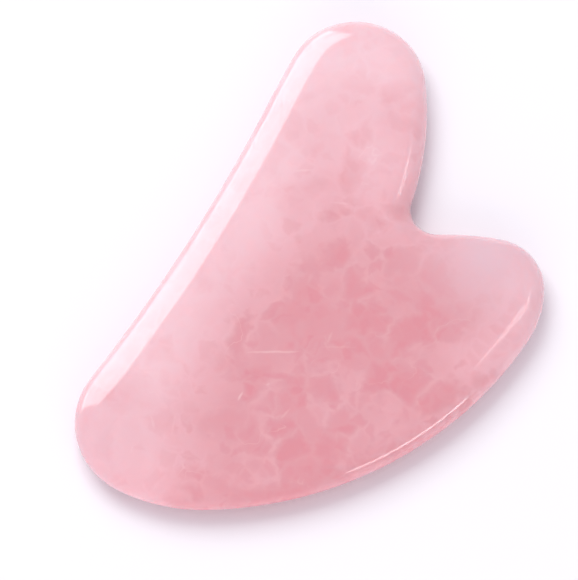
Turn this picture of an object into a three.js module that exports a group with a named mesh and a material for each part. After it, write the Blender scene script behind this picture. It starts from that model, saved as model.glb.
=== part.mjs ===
// Gua sha scraper: a flat heart of rose quartz, ground from one slab and polished all over.
//
// Millimetres, +Z up. The stone lies on its lower face: the origin is under the middle of its
// outline, +Y runs along its length towards the long lobe, and the short lobe is on the +X side.
//
// The outline is a closed chain of arcs, each tangent to the next: round the long lobe, down the
// hollow side that follows the neck, round the tip, up the full belly that follows the cheek,
// round the short lobe, and through the notch that straddles the jaw or a finger. The edge is a
// half ellipse swept along that chain, so the flat faces stop a few millimetres short of it. It
// is blunter at the lobes, and comes in further towards the tip.
import * as THREE from "three";

// The slab
const THICKNESS = 6.5; // from one flat face to the other
const EDGE_REACH = { lobes: 4.3, tip: 5.4 }; // how far the rounded edge comes in over each face
const EDGE_STEPS = 7; // facets from a flat face to the edge's outermost line

// The corners that the hand knows it by. Centres are measured from the tip's own centre.
const TIP = { x: 0, y: 0, radius: 12 };
const LONG_LOBE = { x: 0, y: 61.5, radius: 10.5 };
const SHORT_LOBE = { x: 33.25, y: 42.75, radius: 8 };
const NOTCH = { x: 20.25, y: 50, radius: -4 }; // negative: the stone is on the outside of the arc

// The easier arcs that run on from a corner, and the direction from its centre where they start
const LONG_LOBE_RUN = { radius: 120, from: 180 };
const TIP_RUN = { radius: 27, from: -89 };
const SHORT_LOBE_RUN = { radius: 16, from: 27 };

// The long arcs that bridge one corner and the next
const HOLLOW_RADIUS = -270; // the neck side, slightly hollow
const BELLY_RADIUS = 58; // the cheek side
const SHORT_LOBE_TOP_RADIUS = 42; // from the short lobe into the notch
const NOTCH_SIDE_RADIUS = 47; // from the notch up the long lobe

// Facet sizes along the outline
const LONGEST_STEP = 1.5;
const WIDEST_TURN = THREE.MathUtils.degToRad(6);

// The arc of another radius that runs on from a corner, sharing its tangent there
function runOn(corner, run) {
  const angle = THREE.MathUtils.degToRad(run.from);
  const shift = corner.radius - run.radius;
  return {
    x: corner.x + shift * Math.cos(angle),
    y: corner.y + shift * Math.sin(angle),
    radius: run.radius,
  };
}

// The arc of a given radius that is tangent to two others. Going anticlockwise round the stone,
// the centre of a full arc lies on the left of the line between theirs, a hollow one's on the right.
function bridge(before, after, radius) {
  const span = Math.hypot(after.x - before.x, after.y - before.y);
  const alongX = (after.x - before.x) / span;
  const alongY = (after.y - before.y) / span;
  const reachBefore = radius - before.radius;
  const reachAfter = radius - after.radius;
  const along = (span ** 2 + reachBefore ** 2 - reachAfter ** 2) / (2 * span);
  const aside = Math.sign(radius) * Math.sqrt(reachBefore ** 2 - along ** 2);
  return {
    x: before.x + along * alongX - aside * alongY,
    y: before.y + along * alongY + aside * alongX,
    radius,
  };
}

// The direction of the outward normal where one arc meets the next
function meetingAngle(arc, next) {
  const gap = next.radius - arc.radius;
  return Math.atan2((arc.y - next.y) / gap, (arc.x - next.x) / gap);
}

// The chain of arcs, anticlockwise from the long lobe
function outlineArcs() {
  const neckShoulder = runOn(LONG_LOBE, LONG_LOBE_RUN);
  const lowBelly = runOn(TIP, TIP_RUN);
  const shortShoulder = runOn(SHORT_LOBE, SHORT_LOBE_RUN);
  return [
    LONG_LOBE,
    neckShoulder,
    bridge(neckShoulder, TIP, HOLLOW_RADIUS),
    TIP,
    lowBelly,
    bridge(lowBelly, shortShoulder, BELLY_RADIUS),
    shortShoulder,
    SHORT_LOBE,
    bridge(SHORT_LOBE, NOTCH, SHORT_LOBE_TOP_RADIUS),
    NOTCH,
    bridge(NOTCH, LONG_LOBE, NOTCH_SIDE_RADIUS),
  ];
}

// Stations along the outline, each a point with its outward normal. A full arc is walked
// anticlockwise about its centre and a hollow one clockwise.
function outlineStations() {
  const arcs = outlineArcs();
  const stations = [];
  arcs.forEach((arc, i) => {
    const start = meetingAngle(arcs.at(i - 1), arc);
    const end = meetingAngle(arc, arcs[(i + 1) % arcs.length]);
    const way = Math.sign(arc.radius);
    const sweep = way * THREE.MathUtils.euclideanModulo(way * (end - start), 2 * Math.PI);
    const widest = Math.min(WIDEST_TURN, LONGEST_STEP / Math.abs(arc.radius));
    const steps = Math.ceil(Math.abs(sweep) / widest);
    for (let k = 0; k < steps; k++) {
      const angle = start + (sweep * k) / steps;
      const normal = new THREE.Vector2(Math.cos(angle), Math.sin(angle));
      stations.push({
        point: new THREE.Vector2(arc.x, arc.y).addScaledVector(normal, arc.radius),
        normal,
      });
    }
  });
  return stations;
}

// Moves the stations so that the middle of the outline's box is at the origin, and gives each the
// reach of the edge there, which changes evenly along the stone's length
function centred(stations) {
  const box = new THREE.Box2().setFromPoints(stations.map((station) => station.point));
  const middle = box.getCenter(new THREE.Vector2());
  return stations.map(({ point, normal }) => ({
    point: point.clone().sub(middle),
    normal,
    reach: THREE.MathUtils.mapLinear(
      point.y, box.min.y, box.max.y, EDGE_REACH.tip, EDGE_REACH.lobes,
    ),
  }));
}

// The edge's section from the lower face round to the upper one: inset from the outline as a share
// of the reach, and height
function edgeSection() {
  const section = [];
  for (let k = 0; k <= 2 * EDGE_STEPS; k++) {
    const angle = (Math.PI * k) / (2 * EDGE_STEPS);
    section.push({
      inset: 1 - Math.sin(angle),
      height: (THICKNESS / 2) * (1 - Math.cos(angle)),
    });
  }
  return section;
}

// Lofts the outline through the edge's section, one ring of points for each step of the section,
// and closes the first and last rings with the flat faces
function slabGeometry(stations, section) {
  const count = stations.length;
  const rings = section.map(({ inset, height }) =>
    stations.map(({ point, normal, reach }) => {
      const place = point.clone().addScaledVector(normal, -inset * reach);
      return new THREE.Vector3(place.x, place.y, height);
    }),
  );
  const triangles = [];
  for (let ring = 0; ring < rings.length - 1; ring++) {
    for (let i = 0; i < count; i++) {
      const low = ring * count;
      const next = (i + 1) % count;
      triangles.push([low + i, low + next, low + count + i]);
      triangles.push([low + next, low + count + next, low + count + i]);
    }
  }
  const top = (rings.length - 1) * count;
  const faceOutline = rings[0].map(({ x, y }) => new THREE.Vector2(x, y));
  THREE.ShapeUtils.triangulateShape(faceOutline, []).forEach(([a, b, c]) => {
    triangles.push([a, c, b], [top + a, top + b, top + c]);
  });
  const geometry = new THREE.BufferGeometry().setFromPoints(rings.flat());
  geometry.setIndex(triangles.flat());
  geometry.computeVertexNormals();
  return geometry;
}

// Polished rose quartz: milky pink, glossy, not a metal
const roseQuartz = new THREE.MeshStandardMaterial({
  color: 0xe8a5af,
  roughness: 0.1,
  metalness: 0,
});

const stone = new THREE.Mesh(slabGeometry(centred(outlineStations()), edgeSection()), roseQuartz);
stone.name = "scraper_stone";

const scraper = new THREE.Group();
scraper.add(stone);

export default scraper;
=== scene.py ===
"""A gua sha scraper of rose quartz, on a pale studio floor.

Laid out as an add-on, and run as a script. The stone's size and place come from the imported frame.
"""

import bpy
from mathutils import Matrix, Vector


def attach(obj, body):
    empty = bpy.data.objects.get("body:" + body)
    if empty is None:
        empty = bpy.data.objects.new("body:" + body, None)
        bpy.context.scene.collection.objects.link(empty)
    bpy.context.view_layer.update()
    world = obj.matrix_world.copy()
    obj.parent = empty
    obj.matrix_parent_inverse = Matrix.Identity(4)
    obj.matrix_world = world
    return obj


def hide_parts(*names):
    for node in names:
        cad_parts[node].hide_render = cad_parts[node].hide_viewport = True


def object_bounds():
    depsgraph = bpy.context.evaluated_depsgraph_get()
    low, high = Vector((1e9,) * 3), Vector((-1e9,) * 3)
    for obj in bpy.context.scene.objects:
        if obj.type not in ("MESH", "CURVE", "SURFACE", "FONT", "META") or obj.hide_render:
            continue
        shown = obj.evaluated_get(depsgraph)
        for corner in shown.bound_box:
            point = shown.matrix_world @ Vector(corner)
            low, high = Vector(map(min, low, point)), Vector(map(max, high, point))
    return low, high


bl_info = {
    "name": "Rose quartz gua sha scraper",
    "version": (1, 0, 0),
    "blender": (4, 5, 0),
    "location": "View3D > Sidebar > Gua sha",
    "description": "Builds a polished rose quartz gua sha stone and a small studio for it",
    "category": "Object",
}

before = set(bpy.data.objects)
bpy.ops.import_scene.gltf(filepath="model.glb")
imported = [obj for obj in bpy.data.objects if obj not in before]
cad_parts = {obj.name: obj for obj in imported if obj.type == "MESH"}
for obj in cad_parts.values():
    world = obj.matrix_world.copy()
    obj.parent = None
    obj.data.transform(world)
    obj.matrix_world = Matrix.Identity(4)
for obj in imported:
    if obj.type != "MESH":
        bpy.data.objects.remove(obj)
CAD_LOW, CAD_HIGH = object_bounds()

import math

import bmesh
import bpy
from bpy.props import FloatProperty, FloatVectorProperty, IntProperty, PointerProperty
from mathutils import Vector

MM = 0.001
NODE = "scraper_stone"
PIECE = "rose_quartz_stone"

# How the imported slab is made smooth
SAME_POINT = 0.001 * MM  # corners of two facets that are nearer than this are one
FLAT = 0.9999  # how upright the normal of a facet in a flat face is, at least
RING = 0.4 * MM  # the ring that keeps a flat face flat right up to where the edge begins

# Quartz, and what the wheel leaves on it
QUARTZ_IOR = 1.544
LIGHT_SPREAD = (1.0, 0.55, 0.5)  # red light goes furthest inside it
CLEAR_ROUGHNESS, CLOUDED_ROUGHNESS = 0.045, 0.085
SWELL = 0.03 * MM  # the height of the faint swell that grinding by hand leaves

# The two sizes of grain: the width as a share of the usual one, and how dark the clearest are
GRAINS = ((1, 0.3), (0.45, 0.22))

# How much these add to the milk, which runs from 0 for the deepest pink to 1 for the palest
BLOCK_MILK = 0.2
CLOUD_MILK = (-0.2, 0.0)
WALL_MILK = 0.08

# The hearts, where the quartz is clearest and so its colour deepest: the middle's X and Y and the
# reach along each in mm, and how milky it still is there
HEARTS = (
    (7, -15, 14, 24, 0.3),
    (-7, 10, 6, 6, 0.6),
    (-9, 23, 7, 7, 0.72),
    (-18, -36, 7, 7, 0.72),
)
HEART_ENDS = (0.8, 2.2)  # the milk thickens between these shares of a heart's reach
HEART_JOIN = 0.2  # how softly two hearts run together

# A cool grey tint over the short lobe, and a painted lavender reflection over the tip: the middle's
# X and Y and the reach in mm, and how much
GREY_TINT_AND_PAINTED_REFLECTION = ((16, 17, 18, 1.3), (-23, -39, 16, 0.7))

# The cracks that healed long ago inside the stone: the middle's X and Y and the length in mm, the
# turn from +X in degrees, and how white each is
HEALED_CRACKS = (
    (-3.8, -11.8, 11.0, 30, 0.95),
    (4.5, -6.5, 8.0, 27, 0.3),
    (-4.9, -20.7, 2.4, 96, 1.0),
    (-14.0, 15.6, 4.0, 30, 0.45),
    (-6.5, 13.7, 5.5, 27, 0.4),
    (2.4, -5.7, 3.2, 100, 0.35),
    (-11.3, -29.3, 5.0, 110, 0.3),
    (-14.3, -30.6, 3.6, 135, 0.4),
    (2.4, -19.8, 3.5, 75, 0.4),
    (-2.2, -17.0, 1.2, 60, 0.6),
)
CRACK_HEIGHT = 5.5 * MM  # of a crack's middle, above the lower face
CRACK_HALF_WIDTH = 0.35 * MM
CRACK_HALF_DEPTH = 2.5 * MM
WHITEST = 0.85  # the most that a crack hides the pink
THREAD_WHITE = 0.18  # the most that a thread does

# Which way the old breaks run that part the stone into blocks, in degrees from +X
BLOCK_TURN = 30

# The studio, in metres
FLOOR_SIZE = 6
LAMP_DISTANCE = 1.2
BLIND_DISTANCE = 1.1  # just in front of a window
ROOM_BRIGHTNESS = 0.65

# What the camera looks at: how far to the right of the stone's middle and above it
AIM_RIGHT, AIM_UP = -7.9 * MM, 2.1 * MM


# Colours and sizes that a user would change


def linear(hex_colour):
    """The linear colour of an sRGB hex value such as e8a5af."""
    levels = [int(hex_colour[i:i + 2], 16) / 255 for i in (0, 2, 4)]
    return [v / 12.92 if v <= 0.04045 else ((v + 0.055) / 1.055) ** 2.4 for v in levels]


def colour(name, description, hex_colour):
    """A colour property, given as sRGB hex."""
    return FloatVectorProperty(
        name=name, description=description, subtype="COLOR", size=3, min=0, max=1,
        default=linear(hex_colour),
    )


def length(name, description, millimetres):
    """A length property, given in mm."""
    return FloatProperty(
        name=name, description=description, subtype="DISTANCE", unit="LENGTH",
        default=millimetres * MM,
    )


class StoneSettings(bpy.types.PropertyGroup):
    """The stone's surface and its colours."""

    smoothing: IntProperty(
        name="Smoothing", description="Times the packed slab's facets are halved",
        default=2, min=0, max=3,
    )
    deep_pink: colour("Deep pink", "The darkest grains, where the quartz is clearest", "e09ba3")
    pink: colour("Pink", "The heart of the stone", "e1a6ad")
    milky_pink: colour("Milky pink", "The clouded quartz round the heart", "ebbbc2")
    pale_pink: colour("Pale pink", "The milkiest quartz, towards the ends", "f4d2d8")
    # The colour of the grey tint on the short lobe, which is also the painted lavender reflection
    # at the tip
    grey_tint_and_painted_reflection: colour("Haze", "Cool grey milk, where the quartz is nearly clear", "e5c2ca")
    crack_white: colour("Crack white", "The healed cracks that catch the light", "fff0ee")
    grain: length("Grain", "Usual width of one grain of the quartz", 5.0)
    wall: length("Wall", "Width of the milky wall between two grains", 0.5)
    block: length("Block", "Usual width of the blocks between old breaks", 9.0)
    cloud: length("Cloud", "Usual width of a milky cloud", 14.0)
    depth: length("Light depth", "How far light spreads inside the stone", 2.5)


class StageSettings(bpy.types.PropertyGroup):
    """The floor, the lamps and the camera."""

    floor: colour("Floor", "A pale lavender-white sheet", "f8f6fa")
    room: colour("Room", "The light of the room around", "f2eef6")
    azimuth: FloatProperty(
        name="Azimuth", description="Where the camera stands round the stone",
        subtype="ANGLE", default=math.radians(28.9),
    )
    elevation: FloatProperty(
        name="Elevation", description="How high the camera stands above the floor",
        subtype="ANGLE", default=math.radians(68),
    )
    distance: length("Distance", "From the camera to the stone", 2500)
    view_width: length("View width", "What the picture takes in at the stone", 86.1)


# Helpers for modelling


def only(obj):
    """Selects one object alone and makes it the active one."""
    bpy.ops.object.select_all(action="DESELECT")
    obj.select_set(True)
    bpy.context.view_layer.objects.active = obj


def select_faces(obj, wanted):
    """In edit mode, selects just the faces for which wanted(face) is true."""
    bpy.ops.mesh.select_all(action="DESELECT")
    mesh = bmesh.from_edit_mesh(obj.data)
    for face in mesh.faces:
        if wanted(face):
            face.select_set(True)
    bmesh.update_edit_mesh(obj.data)


def finish_piece(obj, material, node):
    """Gives a piece its material, puts it under the root body, and hides the CAD node that it
    replaces.
    """
    obj.data.materials.clear()
    obj.data.materials.append(material)
    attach(obj, "root")
    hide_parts(node)


# Helpers for materials


def new_material(name):
    """An empty material, for nodes to be added to."""
    material = bpy.data.materials.new(name)
    material.use_nodes = True
    material.node_tree.nodes.clear()
    return material


def add(tree, kind, settings=None, **links):
    """Adds a node. settings are its own settings, or its inputs' values by name or place. links
    are its inputs' sources, by the input's name with _ for a space, or by i and its place."""
    node = tree.nodes.new(kind)
    for key, value in (settings or {}).items():
        if isinstance(key, int) or key in node.inputs:
            node.inputs[key].default_value = value
        else:
            setattr(node, key, value)
    for key, source in links.items():
        place = int(key[1:]) if key[0] == "i" and key[1:].isdigit() else key.replace("_", " ")
        tree.links.new(node.inputs[place], source)
    return node


def rose_quartz(look):
    """Rose quartz, cut, ground and polished: a clear gloss over milky pink grains.

    The gloss is quartz's own, without a coat. Light enters and spreads a little, so the colour is
    soft, and the grains, their milky walls and the healed cracks show as if from just below.
    """
    material = new_material("rose quartz, ground and polished")
    tree = material.node_tree
    place = add(tree, "ShaderNodeTexCoord").outputs["Object"]

    # Everything is drawn on a bent place, so that no grain has a straight side. The bends are two
    # grains wide.
    bend = add(tree, "ShaderNodeTexNoise",
               {"Scale": 0.5 / look.grain, "Detail": 4.0, "Roughness": 0.62}, Vector=place)
    bent = add(tree, "ShaderNodeVectorMath",
               {"operation": "MULTIPLY_ADD", 1: (1.3 * look.grain,) * 3},
               i0=bend.outputs["Color"], i2=place).outputs[0]

    # The hearts: clearest in the middle, and milkier away from it
    milk = add(tree, "ShaderNodeValue").outputs[0]
    milk.default_value = 1.0
    for x, y, reach_x, reach_y, least in HEARTS:
        heart = add(tree, "ShaderNodeMapping", {
            "vector_type": "TEXTURE", "Location": (x * MM, y * MM, 0),
            "Scale": (reach_x * MM, reach_y * MM, 1)}, Vector=place).outputs[0]
        away = add(tree, "ShaderNodeVectorMath", {"operation": "LENGTH"},
                   i0=heart).outputs["Value"]
        around = add(tree, "ShaderNodeMapRange",
                     {"interpolation_type": "SMOOTHSTEP", "From Min": HEART_ENDS[0],
                      "From Max": HEART_ENDS[1], "To Min": least, "To Max": 1.0},
                     Value=away).outputs[0]
        milk = add(tree, "ShaderNodeMath", {"operation": "SMOOTH_MIN", 2: HEART_JOIN},
                   i0=around, i1=milk).outputs[0]

    # Blocks, clouds, grains and walls show in full in the hearts, and less in the milk
    showing = add(tree, "ShaderNodeMapRange",
                  {"From Min": 0.35, "From Max": 0.85, "To Min": 1.0, "To Max": 0.3},
                  Value=milk).outputs[0]

    # Blocks: old breaks, nearly square to each other, part the stone into wide blocks of slightly
    # different milk
    squared = add(tree, "ShaderNodeMapping", {
        "vector_type": "TEXTURE", "Rotation": (0, 0, math.radians(BLOCK_TURN))},
        Vector=bent).outputs[0]
    block = add(tree, "ShaderNodeTexVoronoi",
                {"feature": "SMOOTH_F1", "distance": "CHEBYCHEV", "Smoothness": 0.2,
                 "Scale": 1 / look.block, "Randomness": 0.8}, Vector=squared)
    own = add(tree, "ShaderNodeSeparateColor", Color=block.outputs["Color"]).outputs[0]

    # Clouds: wide milky patches, with small ones inside them
    cloud = add(tree, "ShaderNodeTexNoise",
                {"Scale": 1 / look.cloud, "Detail": 5.0, "Roughness": 0.6}, Vector=bent)
    clouded = add(tree, "ShaderNodeMapRange",
                  {"From Min": 0.3, "From Max": 0.7, "To Min": CLOUD_MILK[0],
                   "To Max": CLOUD_MILK[1]},
                  Value=cloud.outputs["Fac"]).outputs[0]
    mottle = add(tree, "ShaderNodeMath", {"operation": "MULTIPLY_ADD", 1: BLOCK_MILK},
                 i0=own, i2=clouded).outputs[0]

    # Grains: most are clearer than the milk, so darker, each by its own amount, and each fades
    # towards its sides. Small ones lie between the large.
    for share, darkest in GRAINS:
        width = share * look.grain
        grain = add(tree, "ShaderNodeTexVoronoi", {"feature": "F1", "Scale": 1 / width},
                    Vector=bent)
        own = add(tree, "ShaderNodeSeparateColor", Color=grain.outputs["Color"]).outputs[0]
        clear = add(tree, "ShaderNodeMapRange",
                    {"From Min": 0.25, "From Max": 1.0, "To Min": 0.0, "To Max": darkest},
                    Value=own).outputs[0]
        side = add(tree, "ShaderNodeTexVoronoi",
                   {"feature": "DISTANCE_TO_EDGE", "Scale": 1 / width}, Vector=bent)
        within = add(tree, "ShaderNodeMapRange",
                     {"interpolation_type": "SMOOTHSTEP", "From Min": 0.0, "From Max": 0.26,
                      "To Min": 0.0, "To Max": -1.0},
                     Value=side.outputs["Distance"]).outputs[0]
        mottle = add(tree, "ShaderNodeMath", {"operation": "MULTIPLY_ADD"},
                     i0=clear, i1=within, i2=mottle).outputs[0]

    # The milky wall between two grains, which shows here and there
    wall = add(tree, "ShaderNodeTexVoronoi",
               {"feature": "DISTANCE_TO_EDGE", "Scale": 1 / look.grain}, Vector=bent)
    near_wall = add(tree, "ShaderNodeMapRange",
                    {"interpolation_type": "SMOOTHSTEP", "From Min": 0.0,
                     "From Max": look.wall / look.grain, "To Min": 1.0, "To Max": 0.0},
                    Value=wall.outputs["Distance"]).outputs[0]
    patchy = add(tree, "ShaderNodeTexNoise", {"Scale": 0.6 / look.grain, "Detail": 2.0},
                 Vector=place).outputs["Fac"]
    shows = add(tree, "ShaderNodeMapRange",
                {"From Min": 0.42, "From Max": 0.75, "To Min": 0.0, "To Max": WALL_MILK},
                Value=patchy).outputs[0]
    mottle = add(tree, "ShaderNodeMath", {"operation": "MULTIPLY_ADD"},
                 i0=near_wall, i1=shows, i2=mottle).outputs[0]

    # The milk sets the colour
    milk = add(tree, "ShaderNodeMath", {"operation": "MULTIPLY_ADD"},
               i0=mottle, i1=showing, i2=milk).outputs[0]
    ramp = add(tree, "ShaderNodeValToRGB", Fac=milk)
    stops = ramp.color_ramp.elements
    stops[0].position, stops[0].color = 0.0, (*look.deep_pink, 1)
    stops[1].position, stops[1].color = 1.0, (*look.pale_pink, 1)
    for position, shade in ((0.3, look.pink), (0.65, look.milky_pink)):
        stops.new(position).color = (*shade, 1)

    # A cool grey tint over the top of the short lobe, and a painted lavender reflection over the
    # tip, laid over the pinks
    grey_tint_and_reflection_amount = add(tree, "ShaderNodeValue").outputs[0]
    grey_tint_and_reflection_amount.default_value = 0
    for x, y, reach, amount in GREY_TINT_AND_PAINTED_REFLECTION:
        spot = add(tree, "ShaderNodeMapping", {
            "vector_type": "TEXTURE", "Location": (x * MM, y * MM, 0),
            "Scale": (reach * MM, reach * MM, 1)}, Vector=place).outputs[0]
        inside = add(tree, "ShaderNodeTexGradient", {"gradient_type": "QUADRATIC_SPHERE"},
                     Vector=spot).outputs["Fac"]
        grey_tint_and_reflection_amount = add(tree, "ShaderNodeMath", {"operation": "MULTIPLY_ADD", 1: amount},
                   i0=inside, i2=grey_tint_and_reflection_amount).outputs[0]
    pinks = add(tree, "ShaderNodeMix", {"data_type": "RGBA", 7: (*look.grey_tint_and_painted_reflection, 1)},
                i0=grey_tint_and_reflection_amount, i6=ramp.outputs[0]).outputs[2]

    # Threads: thin white wisps of healed cracks, here and there, where a noise crosses its middle
    thread = add(tree, "ShaderNodeTexNoise", {"Scale": 0.45 / look.grain, "Detail": 3.0},
                 Vector=bent).outputs["Fac"]
    off_line = add(tree, "ShaderNodeMath", {"operation": "SUBTRACT", 1: 0.5}, i0=thread).outputs[0]
    off_line = add(tree, "ShaderNodeMath", {"operation": "ABSOLUTE"}, i0=off_line).outputs[0]
    on_line = add(tree, "ShaderNodeMapRange",
                  {"From Min": 0.0, "From Max": 0.006, "To Min": 1.0, "To Max": 0.0},
                  Value=off_line).outputs[0]
    rare = add(tree, "ShaderNodeMapRange",
               {"From Min": 0.56, "From Max": 0.72, "To Min": 0.0, "To Max": THREAD_WHITE},
               Value=patchy).outputs[0]
    threads = add(tree, "ShaderNodeMath", {"operation": "MULTIPLY"},
                  i0=on_line, i1=rare).outputs[0]

    # Single healed cracks: flat upright lenses that taper to nothing all round, a little uneven
    uneven = add(tree, "ShaderNodeVectorMath",
                 {"operation": "MULTIPLY_ADD", 1: (0.3 * look.grain,) * 3},
                 i0=bend.outputs["Color"], i2=place).outputs[0]
    white = threads
    for x, y, reach, turn, whiteness in HEALED_CRACKS:
        lens = add(tree, "ShaderNodeMapping", {
            "vector_type": "TEXTURE", "Location": (x * MM, y * MM, CRACK_HEIGHT),
            "Rotation": (0, 0, math.radians(turn)),
            "Scale": (reach * MM / 2, CRACK_HALF_WIDTH, CRACK_HALF_DEPTH)},
            Vector=uneven).outputs[0]
        inside = add(tree, "ShaderNodeTexGradient", {"gradient_type": "SPHERICAL"},
                     Vector=lens).outputs["Fac"]
        white = add(tree, "ShaderNodeMath", {"operation": "MULTIPLY_ADD", 1: whiteness},
                    i0=inside, i2=white).outputs[0]
    white = add(tree, "ShaderNodeMath", {"operation": "MINIMUM", 1: WHITEST},
                i0=white).outputs[0]
    tinted = add(tree, "ShaderNodeMix", {"data_type": "RGBA", 7: (*look.crack_white, 1)},
                 i0=white, i6=pinks).outputs[2]

    # The polish: the wheel leaves the clouded quartz a little duller, and a faint swell everywhere
    duller = add(tree, "ShaderNodeMapRange",
                 {"From Min": 0.3, "From Max": 0.7, "To Min": CLEAR_ROUGHNESS,
                  "To Max": CLOUDED_ROUGHNESS}, Value=cloud.outputs["Fac"]).outputs[0]
    swell = add(tree, "ShaderNodeTexNoise", {"Scale": 1 / look.grain, "Detail": 1.0},
                Vector=place).outputs["Fac"]
    polish = add(tree, "ShaderNodeBump", {"Strength": 1.0, "Distance": SWELL},
                 Height=swell).outputs[0]

    shader = add(tree, "ShaderNodeBsdfPrincipled", {
        "IOR": QUARTZ_IOR, "Subsurface Weight": 1.0,
        "Subsurface Radius": LIGHT_SPREAD, "Subsurface Scale": look.depth,
    }, Base_Color=tinted, Roughness=duller, Normal=polish)
    add(tree, "ShaderNodeOutputMaterial", Surface=shader.outputs[0])
    return material


# The stone


class GUASHA_OT_stone(bpy.types.Operator):
    """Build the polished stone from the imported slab"""

    bl_idname = "guasha.stone"
    bl_label = "Stone"

    def execute(self, context):
        look = context.scene.guasha_stone
        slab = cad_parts[NODE]
        stone = bpy.data.objects.new(PIECE, slab.data.copy())
        context.collection.objects.link(stone)
        only(stone)
        bpy.ops.object.mode_set(mode="EDIT")
        bpy.ops.mesh.select_all(action="SELECT")
        bpy.ops.mesh.remove_doubles(threshold=SAME_POINT)

        # Each flat face becomes one polygon, and the rounded edge's facets become quads
        select_faces(stone, lambda face: abs(face.normal.z) > FLAT)
        bpy.ops.mesh.dissolve_faces()
        select_faces(stone, lambda face: len(face.verts) == 3)
        bpy.ops.mesh.tris_convert_to_quads()

        # A ring runs inside each flat face's rim, and triangles fill what is left of the face
        select_faces(stone, lambda face: len(face.verts) > 4)
        bpy.ops.mesh.inset(thickness=RING)
        select_faces(stone, lambda face: len(face.verts) > 4)
        bpy.ops.mesh.quads_convert_to_tris(ngon_method="BEAUTY")
        bpy.ops.mesh.select_all(action="SELECT")
        bpy.ops.mesh.normals_make_consistent(inside=False)
        bpy.ops.object.mode_set(mode="OBJECT")

        smooth = stone.modifiers.new("polish", "SUBSURF")
        smooth.levels = smooth.render_levels = look.smoothing
        bpy.ops.object.modifier_apply(modifier=smooth.name)
        bpy.ops.object.shade_smooth()
        finish_piece(stone, rose_quartz(look), NODE)
        return {"FINISHED"}


# The stage


def towards(azimuth, elevation):
    """The direction from the stone to something at that azimuth and elevation, in radians."""
    flat = math.cos(elevation)
    return Vector((math.sin(azimuth) * flat, -math.cos(azimuth) * flat, math.sin(elevation)))


def panel(name, azimuth, elevation, width, height, brightness):
    """A soft panel lamp that faces the stone and doesn't show in its polish. Angles are in
    degrees, and brightness is how bright its face looks beside a white sheet in full light."""
    out = towards(math.radians(azimuth), math.radians(elevation))
    bpy.ops.object.light_add(type="AREA", location=out * LAMP_DISTANCE)
    lamp = bpy.context.object
    lamp.name = lamp.data.name = name
    lamp.rotation_euler = out.to_track_quat("Z", "Y").to_euler()
    lamp.data.shape = "RECTANGLE"
    lamp.data.size, lamp.data.size_y = width, height
    lamp.data.energy = brightness * math.pi * width * height
    lamp.visible_camera = lamp.visible_glossy = False


def mirrored_window(name, azimuth, elevation, distance, corners, brightness):
    """A bright window that shows only in the polish. corners are measured from the stone as it
    faces that azimuth and elevation: how far to the right and up, as shares of the distance."""
    out = towards(math.radians(azimuth), math.radians(elevation))
    turn = out.to_track_quat("Z", "Y")
    right, up = turn @ Vector((-1, 0, 0)), turn @ Vector((0, 1, 0))
    mesh = bpy.data.meshes.new(name)
    mesh.from_pydata([(out + x * right + y * up) * distance for x, y in corners], [],
                     [range(len(corners))])
    window = bpy.data.objects.new(name, mesh)
    bpy.context.collection.objects.link(window)
    material = new_material(name)
    glow = add(material.node_tree, "ShaderNodeEmission", {"Strength": brightness})
    add(material.node_tree, "ShaderNodeOutputMaterial", Surface=glow.outputs[0])
    mesh.materials.append(material)
    window.visible_camera = window.visible_diffuse = window.visible_shadow = False


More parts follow.
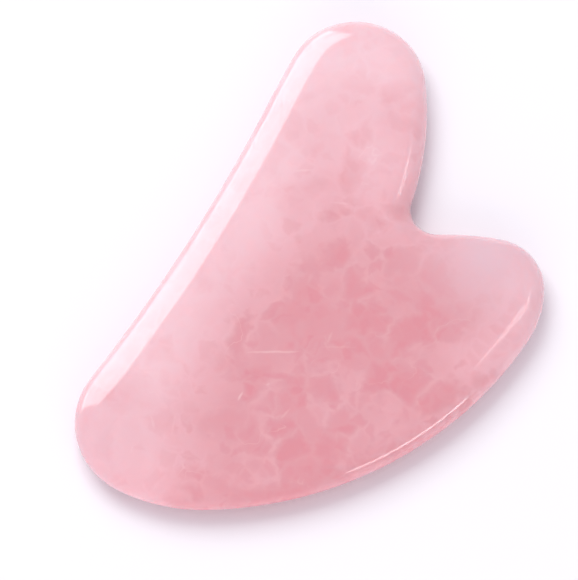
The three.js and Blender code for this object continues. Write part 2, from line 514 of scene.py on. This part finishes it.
class GUASHA_OT_stage(bpy.types.Operator):
    """Set out the floor, the lamps and the camera"""

    bl_idname = "guasha.stage"
    bl_label = "Stage"

    def execute(self, context):
        look = context.scene.guasha_stage
        scene = context.scene
        centre = (CAD_LOW + CAD_HIGH) / 2

        # The floor: matt paper, rough enough that no lamp shows in it
        bpy.ops.mesh.primitive_plane_add(size=FLOOR_SIZE, location=(0, 0, CAD_LOW.z))
        floor = context.object
        floor.name = "floor"
        material = new_material("matt paper sheet")
        paper = add(material.node_tree, "ShaderNodeBsdfPrincipled",
                    {"Base Color": (*look.floor, 1), "Roughness": 0.9,
                     "Specular IOR Level": 0.2})
        add(material.node_tree, "ShaderNodeOutputMaterial", Surface=paper.outputs[0])
        floor.data.materials.append(material)

        # The panels light the stone and give it a soft shadow
        panel("soft_key", 238, 55, 0.9, 0.9, 3.4)
        panel("front_fill", 30, 20, 1.8, 0.9, 1.3)

        # The windows show in the polish of the rounded edge. The gable one, behind on the left,
        # draws the long white stripe. The side one, high on the right, draws the streak on the
        # short lobe and the thin line down the long lobe's side. The low one draws the line
        # along the belly.
        mirrored_window("gable_window", 238, 25, LAMP_DISTANCE,
                        ((-0.79, -0.466), (0.25, -0.466), (0.32, 0.05), (0.38, 0.38),
                         (0.35, 0.52), (0.14, 0.74), (-0.22, 0.54)), 4.8)
        mirrored_window("side_window", 136.9, 56, LAMP_DISTANCE,
                        ((-0.07, -0.42), (-0.02, -0.24), (0.05, -0.18), (-0.02, 0.04),
                         (0.00, 0.19), (0.09, 0.24), (0.18, -0.10), (0.10, -0.55),
                         (0.07, -0.33)), 3.2)
        mirrored_window("low_window", 74, 18, LAMP_DISTANCE,
                        ((-0.25, -0.08), (0.25, -0.07), (0.25, 0.07), (-0.25, 0.07)), 6.5)

        # A dim blind before the gable window, so that the flat face isn't all white when it is
        # seen from the far side
        mirrored_window("gable_blind", 225, 25, BLIND_DISTANCE,
                        ((-0.065, -0.065), (0.065, -0.065), (0.065, 0.065), (-0.065, 0.065)),
                        0.6)

        # The room's own light
        world = bpy.data.worlds.new("room")
        scene.world = world
        world.use_nodes = True
        world.node_tree.nodes.clear()
        light = add(world.node_tree, "ShaderNodeBackground",
                    {"Color": (*look.room, 1), "Strength": ROOM_BRIGHTNESS})
        add(world.node_tree, "ShaderNodeOutputWorld", Surface=light.outputs[0])

        # The camera, far off and with a long lens
        back = towards(look.azimuth, look.elevation)
        turn = back.to_track_quat("Z", "Y")
        right, up = turn @ Vector((1, 0, 0)), turn @ Vector((0, 1, 0))
        target = centre + AIM_RIGHT * right + AIM_UP * up
        bpy.ops.object.camera_add(location=target + back * look.distance,
                                  rotation=turn.to_euler())
        camera = context.object
        camera.name = "camera"
        camera.data.lens = camera.data.sensor_width * look.distance / look.view_width
        camera.data.clip_start = look.distance / 100
        scene.camera = camera
        scene.view_settings.view_transform = "Standard"
        return {"FINISHED"}


class GUASHA_PT_panel(bpy.types.Panel):
    """Lists the steps that build the scraper"""

    bl_label = "Gua sha scraper"
    bl_idname = "GUASHA_PT_panel"
    bl_space_type = "VIEW_3D"
    bl_region_type = "UI"
    bl_category = "Gua sha"

    def draw(self, context):
        scene = context.scene
        for group, step in ((scene.guasha_stone, GUASHA_OT_stone),
                            (scene.guasha_stage, GUASHA_OT_stage)):
            box = self.layout.box()
            for name in group.__annotations__:
                box.prop(group, name)
            box.operator(step.bl_idname)


CLASSES = (StoneSettings, StageSettings, GUASHA_OT_stone, GUASHA_OT_stage, GUASHA_PT_panel)


def register():
    for cls in CLASSES:
        bpy.utils.register_class(cls)
    bpy.types.Scene.guasha_stone = PointerProperty(type=StoneSettings)
    bpy.types.Scene.guasha_stage = PointerProperty(type=StageSettings)


def unregister():
    del bpy.types.Scene.guasha_stage
    del bpy.types.Scene.guasha_stone
    for cls in reversed(CLASSES):
        bpy.utils.unregister_class(cls)


def main():
    register()
    bpy.ops.guasha.stone()
    bpy.ops.guasha.stage()


if __name__ == "__main__":
    main()
